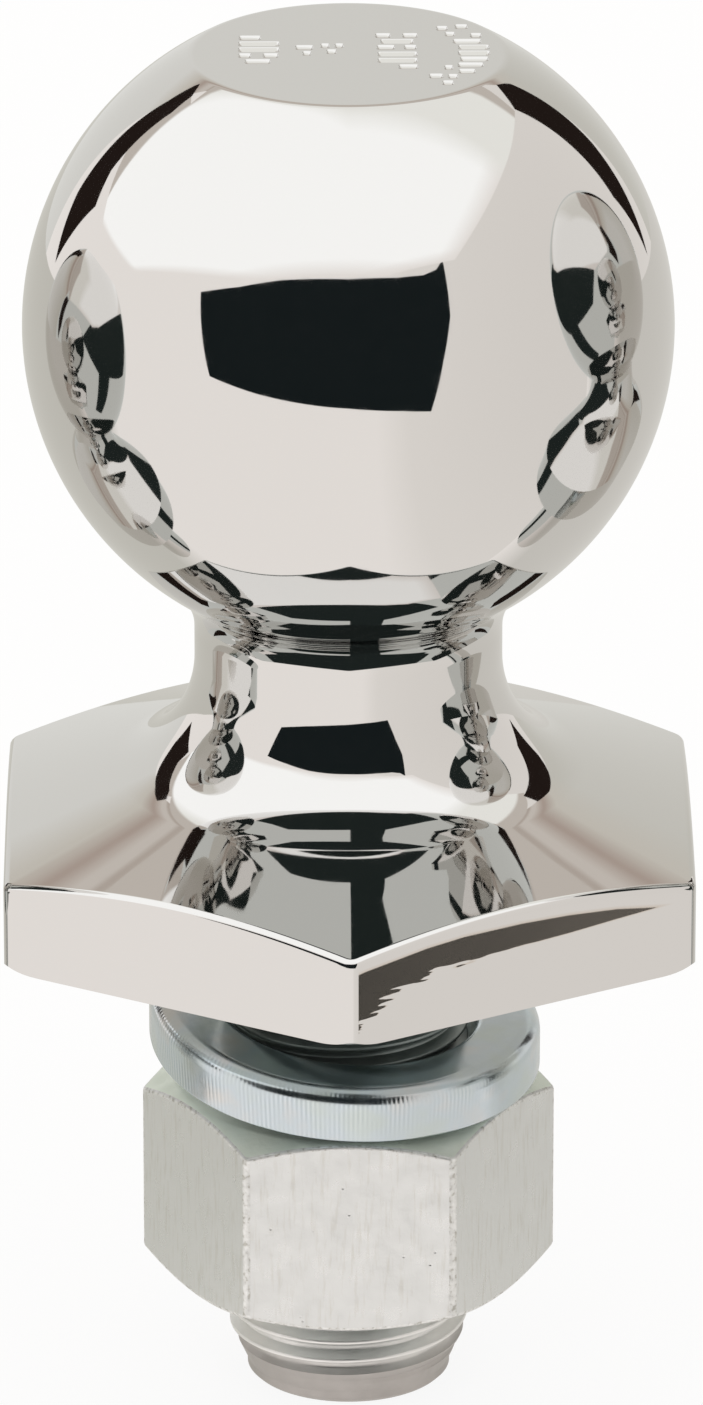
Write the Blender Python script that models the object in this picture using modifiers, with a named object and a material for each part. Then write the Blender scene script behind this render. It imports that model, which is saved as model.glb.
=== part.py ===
"""Threaded tow ball with its hex flange, split lock washer and hex nut.

The ball, neck, flange and shank are one forging, turned and then cut to a hexagon.
Metres, +Z up. The origin is the centre of the shank's end face.
"""
import math

import bmesh
import bpy
from mathutils import Matrix

# Ball and its flat top
BALL_DIAMETER = 0.0508
TOP_FLAT_DIAMETER = 0.0245
TOP_EDGE_RADIUS = 0.0013

# Neck between the ball and the flange
NECK_DIAMETER = 0.0242
NECK_STRAIGHT_LENGTH = 0.0024
NECK_BALL_FILLET = 0.0048
NECK_FLARE_RADIUS = 0.0098

# Hex flange
FLANGE_ACROSS_FLATS = 0.0540
FLANGE_CORNER_THICKNESS = 0.0071
FLANGE_TOP_SLOPE = math.radians(18.6)
FLANGE_CORNER_RADIUS = 0.0006
FLANGE_EDGE_ROUND = 0.0005
FLANGE_CHAMFER_WIDTH = 0.0014
FLANGE_CHAMFER_HEIGHT = 0.0012

# Shank
SHANK_DIAMETER = 0.01905
SHANK_LENGTH = 0.0408
SHANK_ROOT_FILLET = 0.0008
SHANK_LEAD_IN_LENGTH = 0.0031
SHANK_POINT_STEP = 0.001425
SHANK_POINT_LENGTH = 0.0009
SHANK_POINT_CHAMFER = 0.0003

# Nut
NUT_ACROSS_FLATS = 0.028575
NUT_HEIGHT = 0.0163
NUT_FACE_DIAMETER = 0.0277
NUT_CHAMFER_SLOPE = math.radians(27.0)
NUT_CORNER_RADIUS = 0.0003
NUT_COUNTERSINK = 0.0008

# Split lock washer, sprung open as it is before it is tightened
WASHER_BAR_WIDTH = 0.00505
WASHER_SHANK_CLEARANCE = 0.000975
WASHER_THICKNESS = 0.0045
WASHER_RISE = 0.0061
WASHER_RIM_ROUND = 0.0010
WASHER_BORE_ROUND = 0.0007
WASHER_UNDER_ROUND = 0.0003
WASHER_SPLIT_WIDTH = 0.0014
WASHER_SPLIT_SLANT = math.radians(25.0)
WASHER_SIDE_SHIFT = 0.0003

# Fits
DRAWBAR_GAP = 0.0041
THREAD_CLEARANCE = 0.0003
SEAT_CLEARANCE = 0.0003

# Fineness of the round forms
TURNED_STEPS = 72
NUT_STEPS = 48
WASHER_STEPS = 48
BALL_ARC_STEPS = 25
FILLET_STEPS = 6
SMALL_ARC_STEPS = 3
EDGE_ROUND_STEPS = 2
SHARP_EDGE_ANGLE = math.radians(50.0)

# Heights and reaches that follow from the sizes above
BLANK_MARGIN = 0.002
FLANGE_REACH = FLANGE_ACROSS_FLATS / 2 / math.cos(math.pi / 6)
FLANGE_CORNER_TOP_Z = SHANK_LENGTH + FLANGE_CORNER_THICKNESS
NUT_REACH = NUT_ACROSS_FLATS / 2 / math.cos(math.pi / 6)
SHANK_RADIUS = SHANK_DIAMETER / 2
WASHER_BORE_RADIUS = SHANK_RADIUS + WASHER_SHANK_CLEARANCE
WASHER_RIM_RADIUS = WASHER_BORE_RADIUS + WASHER_BAR_WIDTH


def resting_tilt():
    """Sine of the tilt at which the helical ring stands on its low end and its far side.

    It touches with its bore's edge at the low end and with its rim at the angle u further
    round, where u sin(u) + cos(u) equals the bore's radius over the rim's.
    """
    share = WASHER_BORE_RADIUS / WASHER_RIM_RADIUS
    angle = 2.5
    for _ in range(20):
        miss = angle * math.sin(angle) + math.cos(angle) - share
        angle -= miss / (angle * math.cos(angle))
    return WASHER_RISE / (2 * math.pi * WASHER_RIM_RADIUS * math.sin(angle))


TILT_SINE = resting_tilt()
WASHER_LEAN = TILT_SINE * (WASHER_RISE + WASHER_THICKNESS) / 2
WASHER_LOW_Z = (SHANK_LENGTH - DRAWBAR_GAP - TILT_SINE * WASHER_RIM_RADIUS
                - (WASHER_RISE + WASHER_THICKNESS) * math.cos(math.asin(TILT_SINE)))
NUT_TOP_Z = WASHER_LOW_Z + TILT_SINE * WASHER_BORE_RADIUS - SEAT_CLEARANCE


def clear_scene():
    for item in list(bpy.data.objects):
        bpy.data.objects.remove(item, do_unlink=True)


def make_collection(name):
    collection = bpy.data.collections.new(name)
    bpy.context.scene.collection.children.link(collection)
    return collection


def make_material(name, colour, roughness):
    material = bpy.data.materials.new(name)
    material.use_nodes = True
    shader = material.node_tree.nodes["Principled BSDF"]
    shader.inputs["Base Color"].default_value = (*colour, 1.0)
    shader.inputs["Roughness"].default_value = roughness
    shader.inputs["Metallic"].default_value = 1.0
    return material


def arc(centre_r, centre_z, radius, start, end, steps):
    """Points of an arc in the (radius, height) plane, both ends included."""
    points = []
    for step in range(steps + 1):
        angle = start + (end - start) * step / steps
        points.append((centre_r + radius * math.cos(angle), centre_z + radius * math.sin(angle)))
    return points


def turned_object(name, outline, steps, collection, closed=False):
    """An outline of (radius, height) points, turned about Z with a Screw modifier."""
    mesh = bpy.data.meshes.new(name)
    shape = bmesh.new()
    corners = [shape.verts.new((r, 0.0, z)) for r, z in outline]
    for first, second in zip(corners, corners[1:]):
        shape.edges.new((first, second))
    if closed:
        shape.edges.new((corners[-1], corners[0]))
    shape.to_mesh(mesh)
    shape.free()
    turned = bpy.data.objects.new(name, mesh)
    collection.objects.link(turned)
    screw = turned.modifiers.new("turn", "SCREW")
    screw.axis = "Z"
    screw.angle = 2 * math.pi
    screw.steps = steps
    screw.render_steps = steps
    screw.use_merge_vertices = True
    screw.merge_threshold = 0.000001
    screw.use_smooth_shade = True
    return turned


def add_cutter(name, shape, collection):
    mesh = bpy.data.meshes.new(name)
    bmesh.ops.recalc_face_normals(shape, faces=shape.faces)
    shape.to_mesh(mesh)
    shape.free()
    cutter = bpy.data.objects.new(name, mesh)
    collection.objects.link(cutter)
    cutter.hide_render = True
    cutter.display_type = "WIRE"
    return cutter


def hex_cutter(name, reach, corner_radius, bottom_z, top_z, turn, collection):
    """A hexagonal prism, its upright edges rounded, that leaves a hexagon of a turned blank."""
    shape = bmesh.new()
    height = top_z - bottom_z
    place = Matrix.Translation((0.0, 0.0, bottom_z + height / 2)) @ Matrix.Rotation(turn, 4, "Z")
    bmesh.ops.create_cone(shape, cap_ends=True, segments=6, radius1=reach, radius2=reach,
                          depth=height, matrix=place)
    upright = [edge for edge in shape.edges
               if abs(edge.verts[0].co.z - edge.verts[1].co.z) > height / 2]
    bmesh.ops.bevel(shape, geom=upright, offset=corner_radius, offset_type="OFFSET",
                    segments=SMALL_ARC_STEPS, profile=0.5, affect="EDGES")
    return add_cutter(name, shape, collection)


def add_boolean(target, cutter, operation):
    modifier = target.modifiers.new(operation.lower(), "BOOLEAN")
    modifier.operation = operation
    modifier.solver = "EXACT"
    modifier.object = cutter


def round_sharp_edges(piece, width, above_z):
    """Makes the modifiers part of the mesh and rounds the sharp edges above a height."""
    shape = bmesh.new()
    shape.from_object(piece, bpy.context.evaluated_depsgraph_get())
    sharp = [edge for edge in shape.edges
             if edge.is_manifold and edge.calc_face_angle() > SHARP_EDGE_ANGLE
             and min(corner.co.z for corner in edge.verts) > above_z]
    bmesh.ops.bevel(shape, geom=sharp, offset=width, offset_type="OFFSET",
                    segments=EDGE_ROUND_STEPS, profile=0.5, affect="EDGES", clamp_overlap=False)
    piece.modifiers.clear()
    shape.to_mesh(piece.data)
    shape.free()


def neck_arcs():
    """Centre of the flare on the flange, centre of the fillet under the ball, ball height."""
    flare_r = NECK_DIAMETER / 2 + NECK_FLARE_RADIUS
    flare_z = (FLANGE_CORNER_TOP_Z + math.tan(FLANGE_TOP_SLOPE) * (FLANGE_REACH - flare_r)
               + NECK_FLARE_RADIUS / math.cos(FLANGE_TOP_SLOPE))
    fillet_r = NECK_DIAMETER / 2 + NECK_BALL_FILLET
    fillet_z = flare_z + NECK_STRAIGHT_LENGTH
    reach = BALL_DIAMETER / 2 + NECK_BALL_FILLET
    ball_z = fillet_z + math.sqrt(reach ** 2 - fillet_r ** 2)
    return (flare_r, flare_z), (fillet_r, fillet_z), ball_z


def ball_outline():
    """Flat top, its rounded edge, the ball, and the neck down to the sloping flange top."""
    (flare_r, flare_z), (fillet_r, fillet_z), ball_z = neck_arcs()
    ball_r = BALL_DIAMETER / 2
    flat_z = ball_z + math.sqrt(ball_r ** 2 - (TOP_FLAT_DIAMETER / 2) ** 2)
    edge_z = flat_z - TOP_EDGE_RADIUS
    edge_r = math.sqrt((ball_r - TOP_EDGE_RADIUS) ** 2 - (edge_z - ball_z) ** 2)
    top_meet = math.atan2(edge_z - ball_z, edge_r)
    neck_meet = math.atan2(fillet_z - ball_z, fillet_r)
    points = [(0.0, flat_z)]
    points += arc(edge_r, edge_z, TOP_EDGE_RADIUS, math.pi / 2, top_meet, SMALL_ARC_STEPS)
    points += arc(0.0, ball_z, ball_r, top_meet, neck_meet, BALL_ARC_STEPS)[1:]
    points += arc(fillet_r, fillet_z, NECK_BALL_FILLET, math.pi + neck_meet, math.pi,
                  FILLET_STEPS)[1:]
    points += arc(flare_r, flare_z, NECK_FLARE_RADIUS, math.pi,
                  math.pi * 1.5 - FLANGE_TOP_SLOPE, FILLET_STEPS * 2)
    return points


def flange_outline():
    """Blank for the flange: sloping top, rim outside the hexagon, turned chamfer, seat."""
    blank_r = FLANGE_REACH + BLANK_MARGIN
    chamfer_r = FLANGE_REACH - FLANGE_CHAMFER_WIDTH
    chamfer_slope = FLANGE_CHAMFER_HEIGHT / FLANGE_CHAMFER_WIDTH
    return [
        (blank_r, FLANGE_CORNER_TOP_Z - math.tan(FLANGE_TOP_SLOPE) * BLANK_MARGIN),
        (blank_r, SHANK_LENGTH + chamfer_slope * (blank_r - chamfer_r)),
        (chamfer_r, SHANK_LENGTH),
    ]


def shank_outline():
    """Root fillet, plain shank, tapered lead-in and the short turned-down point."""
    point_r = SHANK_RADIUS - SHANK_POINT_STEP
    points = arc(SHANK_RADIUS + SHANK_ROOT_FILLET, SHANK_LENGTH - SHANK_ROOT_FILLET,
                 SHANK_ROOT_FILLET, math.pi / 2, math.pi, SMALL_ARC_STEPS)
    points += [
        (SHANK_RADIUS, SHANK_POINT_LENGTH + SHANK_LEAD_IN_LENGTH),
        (point_r, SHANK_POINT_LENGTH),
        (point_r, SHANK_POINT_CHAMFER),
        (point_r - SHANK_POINT_CHAMFER, 0.0),
        (0.0, 0.0),
    ]
    return points


def make_tow_ball(parts, cutters):
    outline = ball_outline() + flange_outline() + shank_outline()
    forging = turned_object("tow_ball", outline, TURNED_STEPS, parts)
    top_z = outline[0][1]
    hexagon = hex_cutter("flange_hexagon", FLANGE_REACH, FLANGE_CORNER_RADIUS,
                         -BLANK_MARGIN, top_z + BLANK_MARGIN, 0.0, cutters)
    add_boolean(forging, hexagon, "INTERSECT")
    round_sharp_edges(forging, FLANGE_EDGE_ROUND, SHANK_LENGTH + FLANGE_CHAMFER_HEIGHT * 2)
    bpy.data.objects.remove(hexagon)
    forging.data.materials.append(make_material("chrome plate", (0.82, 0.81, 0.80), 0.06))
    return forging


def make_nut(parts, cutters):
    """A turned blank with a chamfer on both faces, then cut to a hexagon."""
    bottom_z = NUT_TOP_Z - NUT_HEIGHT
    face_r = NUT_FACE_DIAMETER / 2
    blank_r = NUT_REACH + BLANK_MARGIN
    drop = math.tan(NUT_CHAMFER_SLOPE) * (blank_r - face_r)
    bore_r = SHANK_RADIUS + THREAD_CLEARANCE
    outline = [
        (bore_r, NUT_TOP_Z - NUT_COUNTERSINK),
        (bore_r + NUT_COUNTERSINK, NUT_TOP_Z),
        (face_r, NUT_TOP_Z),
        (blank_r, NUT_TOP_Z - drop),
        (blank_r, bottom_z + drop),
        (face_r, bottom_z),
        (bore_r + NUT_COUNTERSINK, bottom_z),
        (bore_r, bottom_z + NUT_COUNTERSINK),
    ]
    nut = turned_object("hex_nut", outline, NUT_STEPS, parts, closed=True)
    hexagon = hex_cutter("nut_hexagon", NUT_REACH, NUT_CORNER_RADIUS,
                         bottom_z - BLANK_MARGIN, NUT_TOP_Z + BLANK_MARGIN, math.pi / 6, cutters)
    add_boolean(nut, hexagon, "INTERSECT")
    nut.data.materials.append(make_material("nut zinc", (0.72, 0.71, 0.68), 0.34))
    return nut


def washer_section():
    """The ring's section, anticlockwise from the lower inner corner, edges rounded."""
    inner = WASHER_BORE_RADIUS
    outer = WASHER_RIM_RADIUS
    under = WASHER_UNDER_ROUND
    points = arc(outer - under, under, under, -math.pi / 2, 0.0, SMALL_ARC_STEPS)
    points += arc(outer - WASHER_RIM_ROUND, WASHER_THICKNESS - WASHER_RIM_ROUND,
                  WASHER_RIM_ROUND, 0.0, math.pi / 2, SMALL_ARC_STEPS)
    points += arc(inner + WASHER_BORE_ROUND, WASHER_THICKNESS - WASHER_BORE_ROUND,
                  WASHER_BORE_ROUND, math.pi / 2, math.pi, SMALL_ARC_STEPS)
    points += arc(inner + under, under, under, math.pi, math.pi * 1.5, SMALL_ARC_STEPS)
    return points


def make_washer(parts, cutters):
    """One left-hand turn of the section, cut through on a slant at the back."""
    shape = bmesh.new()
    section = [shape.verts.new((0.0, r, z)) for r, z in washer_section()]
    face = shape.faces.new(section)
    geometry = [face] + list(face.edges) + list(face.verts)
    bmesh.ops.spin(shape, geom=geometry, cent=(0.0, 0.0, 0.0), axis=(0.0, 0.0, 1.0),
                   dvec=(0.0, 0.0, WASHER_RISE / WASHER_STEPS), angle=-2 * math.pi,
                   steps=WASHER_STEPS, use_duplicate=False)
    bmesh.ops.recalc_face_normals(shape, faces=shape.faces)
    mesh = bpy.data.meshes.new("lock_washer")
    shape.to_mesh(mesh)
    shape.free()
    washer = bpy.data.objects.new("lock_washer", mesh)
    parts.objects.link(washer)
    split = bmesh.new()
    depth = WASHER_RIM_RADIUS
    height = (WASHER_RISE + WASHER_THICKNESS) * 3
    lean = (Matrix.Translation((0.0, depth, (WASHER_RISE + WASHER_THICKNESS) / 2))
            @ Matrix.Rotation(WASHER_SPLIT_SLANT, 4, "Y")
            @ Matrix.Diagonal((WASHER_SPLIT_WIDTH, depth * 1.5, height, 1.0)))
    bmesh.ops.create_cube(split, size=1.0, matrix=lean)
    slot = add_cutter("washer_split", split, cutters)
    slot.parent = washer
    add_boolean(washer, slot, "DIFFERENCE")
    washer.rotation_euler = (math.asin(TILT_SINE), 0.0, 0.0)
    washer.location = (-WASHER_SIDE_SHIFT, WASHER_LEAN, WASHER_LOW_Z)
    washer.data.materials.append(make_material("washer zinc", (0.70, 0.74, 0.76), 0.28))
    return washer


def main():
    clear_scene()
    parts = make_collection("tow_ball_assembly")
    cutters = make_collection("cutters")
    make_tow_ball(parts, cutters)
    make_washer(parts, cutters)
    make_nut(parts, cutters)


main()
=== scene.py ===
# %% [markdown]
# # A threaded tow ball in chrome and zinc
# A tow ball is one steel forging: a ball, a neck, a six-sided flange and a threaded shank. It is turned,
# polished and chrome plated. Under the flange sit a split spring washer and a heavy hex nut, and both are
# zinc plated.
#
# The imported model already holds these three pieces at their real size. This lesson builds their finely
# shaped copies round it, gives them their plating, and lights them in a small white studio.

import math

import bmesh
import bpy
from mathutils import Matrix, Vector


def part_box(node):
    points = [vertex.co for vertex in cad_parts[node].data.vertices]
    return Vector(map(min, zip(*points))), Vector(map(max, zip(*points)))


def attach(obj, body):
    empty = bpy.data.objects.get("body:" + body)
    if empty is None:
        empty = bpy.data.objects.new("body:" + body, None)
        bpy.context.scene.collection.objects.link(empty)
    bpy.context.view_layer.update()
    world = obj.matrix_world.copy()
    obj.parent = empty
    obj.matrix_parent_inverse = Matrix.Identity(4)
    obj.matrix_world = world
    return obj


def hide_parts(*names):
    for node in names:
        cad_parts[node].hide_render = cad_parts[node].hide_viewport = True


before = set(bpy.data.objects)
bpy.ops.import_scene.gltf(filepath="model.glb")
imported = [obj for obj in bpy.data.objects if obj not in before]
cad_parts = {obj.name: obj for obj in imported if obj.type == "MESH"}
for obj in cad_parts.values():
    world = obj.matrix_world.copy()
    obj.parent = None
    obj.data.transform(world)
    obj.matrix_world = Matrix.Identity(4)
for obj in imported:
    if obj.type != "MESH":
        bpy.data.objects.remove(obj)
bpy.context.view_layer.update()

# %% [markdown]
# Blender can bend colours to look like film. A catalogue picture wants the plain values instead, so the
# Standard view is chosen before anything else.

# %% Show colours as they are written
bpy.context.scene.view_settings.view_transform = "Standard"
print("view:", bpy.context.scene.view_settings.view_transform)

# %% [markdown]
# ## Drawing an outline
# Everything here is turned on a lathe before it is cut, so every piece starts as half an outline. By hand
# one would add a plane, merge it to a single point, and then press E for each straight line and use Spin
# for each arc. These helpers do the same, and a pen keeps the place of the last point.

# %% Helpers for outlines
def single_point(name, place):
    """A new mesh that is one point, in edit mode."""
    bpy.ops.object.select_all(action="DESELECT")
    bpy.ops.mesh.primitive_plane_add(size=0.001)
    piece = bpy.context.object
    piece.name = name
    bpy.ops.object.mode_set(mode="EDIT")
    bpy.ops.mesh.select_mode(type="VERT")
    bpy.ops.mesh.merge(type="CENTER")
    bpy.ops.transform.translate(value=place)
    return piece


def begin_outline(name, radius, height):
    """A new mesh that is a single point beside the axis, and the pen that stands on it."""
    return single_point(name, (radius, 0, height)), [radius, height]


def line_to(pen, radius, height):
    """A straight line from the pen to a new point."""
    step = (radius - pen[0], 0, height - pen[1])
    bpy.ops.mesh.extrude_region_move(TRANSFORM_OT_translate={"value": step})
    pen[:] = radius, height


def arc_about(pen, centre_radius, centre_height, sweep, steps):
    """An arc from the pen about a centre. A positive sweep runs anticlockwise, from the axis side up."""
    bpy.ops.mesh.spin(steps=steps, angle=sweep, center=(centre_radius, 0, centre_height), axis=(0, 1, 0))
    across = pen[0] - centre_radius
    up = pen[1] - centre_height
    pen[0] = centre_radius + across * math.cos(sweep) - up * math.sin(sweep)
    pen[1] = centre_height + across * math.sin(sweep) + up * math.cos(sweep)

# %% [markdown]
# Spin, with a full turn about the upright axis, does the turning. It leaves two copies of the first column
# and a heap of points on the axis, so the doubles are merged before the faces are made to point outwards.

# %% Helpers for turning and cutting
MERGE_DISTANCE = 0.000001


def weld(piece):
    """Merges doubled points in edit mode and turns the faces outwards."""
    bpy.ops.mesh.select_all(action="SELECT")
    bpy.ops.mesh.remove_doubles(threshold=MERGE_DISTANCE)
    bpy.ops.mesh.normals_make_consistent(inside=False)


def turn_outline(piece, columns):
    """Spins the drawn outline once round the upright axis and leaves edit mode."""
    bpy.ops.mesh.select_all(action="SELECT")
    bpy.ops.mesh.spin(steps=columns, angle=math.tau, center=(0, 0, 0), axis=(0, 0, 1))
    weld(piece)
    bpy.ops.object.mode_set(mode="OBJECT")


def pick(piece, kind, test):
    """In edit mode, selects only the points, edges or faces for which the test is true."""
    bpy.ops.mesh.select_mode(type=kind)
    bpy.ops.mesh.select_all(action="DESELECT")
    shape = bmesh.from_edit_mesh(piece.data)
    group = {"VERT": shape.verts, "EDGE": shape.edges, "FACE": shape.faces}[kind]
    chosen = [item for item in group if test(item)]
    for item in chosen:
        item.select_set(True)
    bmesh.update_edit_mesh(piece.data)
    return len(chosen)


def choose(piece):
    """Selects one piece alone."""
    bpy.ops.object.select_all(action="DESELECT")
    piece.select_set(True)
    bpy.context.view_layer.objects.active = piece


def edit(piece):
    """Goes into edit mode on one piece alone."""
    choose(piece)
    bpy.ops.object.mode_set(mode="EDIT")


def apply_place():
    """Makes the place, the turn and the size of the selected piece part of its mesh."""
    bpy.ops.object.transform_apply(location=True, rotation=True, scale=True)


def cut(piece, tool, operation):
    """Cuts a piece with another mesh, which is used up."""
    bpy.context.view_layer.objects.active = piece
    step = piece.modifiers.new("cut", "BOOLEAN")
    step.operation = operation
    step.object = tool
    bpy.ops.object.modifier_apply(modifier=step.name)
    bpy.data.objects.remove(tool)

# %% [markdown]
# A hexagon isn't drawn into the outline. The turned blank is cut with a six-sided prism, as a bar of hex
# stock meets a lathe tool, and that gives each flat its arched top edge by itself. The prism's upright
# edges are bevelled first, so the cut corners come out slightly rounded. The round has an odd number of
# steps: a column of the blank then meets the middle of a step, and no sliver is left at the corner.

# %% A six-sided cutting tool
def hexagon_tool(reach, corner_round, low, high, turn):
    """A six-sided prism round the axis, with rounded upright edges."""
    bpy.ops.object.select_all(action="DESELECT")
    middle = (low + high) / 2
    bpy.ops.mesh.primitive_cylinder_add(vertices=6, radius=reach, depth=high - low,
                                        location=(0, 0, middle), rotation=(0, 0, turn))
    tool = bpy.context.object
    apply_place()
    bpy.ops.object.mode_set(mode="EDIT")
    pick(tool, "EDGE", lambda edge: abs(edge.verts[0].co.z - edge.verts[1].co.z) > reach / 2)
    bpy.ops.mesh.bevel(offset=corner_round, segments=5, affect="EDGES")
    bpy.ops.object.mode_set(mode="OBJECT")
    return tool

# %% [markdown]
# ## The forging
# The ball carries most of the picture, because it mirrors the whole studio. Its outline has a flat top
# with a small rounded edge, the ball itself, a fillet into the neck and a wide flare onto the flange. A
# mirror shows every kink, so arcs are drawn with many short steps, and the turned form gets 180 columns.

# %% Sizes of the forging
ball_low, ball_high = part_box("tow_ball")
TOP_Z = ball_high.z
BALL_RADIUS = 0.0254
TOP_FLAT_RADIUS = 0.01225
TOP_EDGE_ROUND = 0.0013
NECK_RADIUS = 0.0121
NECK_STRAIGHT = 0.0024
NECK_FILLET = 0.0048
NECK_FLARE = 0.0098
FLANGE_SLOPE = math.radians(18.6)
FLANGE_REACH = (ball_high.x - ball_low.x) / 2 / math.cos(math.pi / 6)
FLANGE_CORNER_ROUND = 0.00065
FLANGE_EDGE_ROUND = 0.00055
SEAT_Z = 0.0408
SEAT_ROUND = 0.0017
SHANK_RADIUS = 0.009525
SHANK_ROOT_FILLET = 0.0008
PLAIN_SHANK_Z = 0.0350
COLUMNS = 180

ball_z = TOP_Z - math.sqrt(BALL_RADIUS ** 2 - TOP_FLAT_RADIUS ** 2)
print("ball centre at", round(1000 * ball_z, 2), "mm; flange reach", round(1000 * FLANGE_REACH, 2), "mm")

# %% [markdown]
# The arcs have to run into each other without a corner. Each centre follows from the one before: the
# fillet touches the ball from outside, and the flare touches both the straight neck and the cone of the
# flange top.

# %% Draw and turn the forging
def draw_ball(pen):
    """The rounded edge of the flat top, then the ball down to where the fillet takes over."""
    edge_z = TOP_Z - TOP_EDGE_ROUND
    edge_r = math.sqrt((BALL_RADIUS - TOP_EDGE_ROUND) ** 2 - (edge_z - ball_z) ** 2)
    top_meet = math.atan2(edge_z - ball_z, edge_r)
    fillet_r = NECK_RADIUS + NECK_FILLET
    neck_meet = -math.acos(fillet_r / (BALL_RADIUS + NECK_FILLET))
    line_to(pen, edge_r, TOP_Z)
    arc_about(pen, edge_r, edge_z, top_meet - math.pi / 2, 6)
    arc_about(pen, 0, ball_z, neck_meet - top_meet, 72)
    fillet_z = ball_z + (BALL_RADIUS + NECK_FILLET) * math.sin(neck_meet)
    arc_about(pen, fillet_r, fillet_z, -neck_meet, 16)


def draw_flange(pen):
    """The straight neck, the flare, the sloping top, the rim, its rounded foot and the seat."""
    line_to(pen, NECK_RADIUS, pen[1] - NECK_STRAIGHT)
    arc_about(pen, NECK_RADIUS + NECK_FLARE, pen[1], math.pi / 2 - FLANGE_SLOPE, 24)
    blank_r = FLANGE_REACH + 0.002
    foot_r = FLANGE_REACH - 0.8 * SEAT_ROUND
    line_to(pen, blank_r, pen[1] - math.tan(FLANGE_SLOPE) * (blank_r - pen[0]))
    line_to(pen, blank_r, SEAT_Z + SEAT_ROUND)
    line_to(pen, foot_r + SEAT_ROUND, SEAT_Z + SEAT_ROUND)
    arc_about(pen, foot_r, SEAT_Z + SEAT_ROUND, -math.pi / 2, 10)
    line_to(pen, SHANK_RADIUS + SHANK_ROOT_FILLET, SEAT_Z)
    arc_about(pen, SHANK_RADIUS + SHANK_ROOT_FILLET, SEAT_Z - SHANK_ROOT_FILLET, math.pi / 2, 4)


forging, pen = begin_outline("ball_forging", 0, TOP_Z)
draw_ball(pen)
draw_flange(pen)
line_to(pen, SHANK_RADIUS, PLAIN_SHANK_Z)
line_to(pen, 0, PLAIN_SHANK_Z)
turn_outline(forging, COLUMNS)
print("turned blank:", len(forging.data.polygons), "faces")

# %% [markdown]
# Now the six flats are cut. Two corners of the hexagon point along Y, one of them at the camera. The new
# edges are then broken with a small bevel, as polishing does, and that thin round is what catches the
# light along the rim of the flange.

# %% Cut the hexagon and break its edges
EDGE_ANGLE = math.radians(50)


def is_edge_of_flats(edge):
    """True where two faces meet at a real edge."""
    return len(edge.link_faces) == 2 and edge.calc_face_angle() > EDGE_ANGLE


cut(forging, hexagon_tool(FLANGE_REACH, FLANGE_CORNER_ROUND, 0, 0.2, 0), "INTERSECT")
edit(forging)
high_flange = ball_z - BALL_RADIUS
count = pick(forging, "EDGE", lambda edge: is_edge_of_flats(edge)
             and all(SEAT_Z + 2 * SEAT_ROUND < corner.co.z < high_flange for corner in edge.verts))
bpy.ops.mesh.bevel(offset=FLANGE_EDGE_ROUND, segments=4, affect="EDGES", clamp_overlap=False)
bpy.ops.object.mode_set(mode="OBJECT")
print("edges broken on the flange:", count)

# %% [markdown]
# ## The stamped top
# A tow ball has its rating struck into the flat top. Here the place is kept and the marks say nothing:
# groups of plain bars and dots. A struck mark has sloping walls, because a punch is a chisel, and those
# slopes are what shine. So each tool is a cube whose lower face is narrowed to a blunt edge. The table gives
# the place and the length of each in millimetres. All are joined into one cutter, and a single cut sinks
# them.

# %% Marks struck into the top
STAMP_DEPTH = 0.00027
STAMP_WIDTH = 0.00112
LIP_DEPTH = 0.00005
LIP_DRAFT = 0.00003
PUNCH_ROUND = 0.00022
PUNCH_END_LOSS = 0.0003
PUNCH_END_SHARE = 0.15
STAMPED_MARKS = [
    (-7.6, 3.8, 1.7), (-6.9, 2.4, 3.2), (-6.9, 1.0, 3.2), (-8.0, -0.4, 1.0), (-6.0, -0.4, 1.2),
    (-7.0, -1.8, 2.0),
    (-3.4, 1.5, 1.4), (-3.2, 0.1, 0.7), (-1.8, 1.9, 0.7), (-0.7, 1.9, 0.7), (-1.3, 0.5, 0.8),
    (2.7, 4.3, 1.2), (4.8, 4.3, 1.2), (3.8, 2.9, 2.6), (2.9, 1.5, 1.4), (4.8, 1.5, 1.0), (3.8, -0.1, 3.1),
    (3.8, -1.6, 3.1), (4.6, -3.1, 1.5),
    (7.3, 6.0, 0.9), (8.8, 6.4, 1.0), (7.9, 4.6, 0.8), (9.9, 4.3, 0.9), (9.2, 2.9, 2.2), (9.7, 1.5, 2.4),
    (9.7, 0.1, 2.5), (9.7, -1.3, 2.2), (9.4, -2.7, 2.0), (7.7, -3.3, 0.7), (9.1, -4.2, 1.3),
    (6.7, -5.3, 1.1), (8.0, -5.4, 0.8), (7.6, -6.9, 0.9),
]


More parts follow.
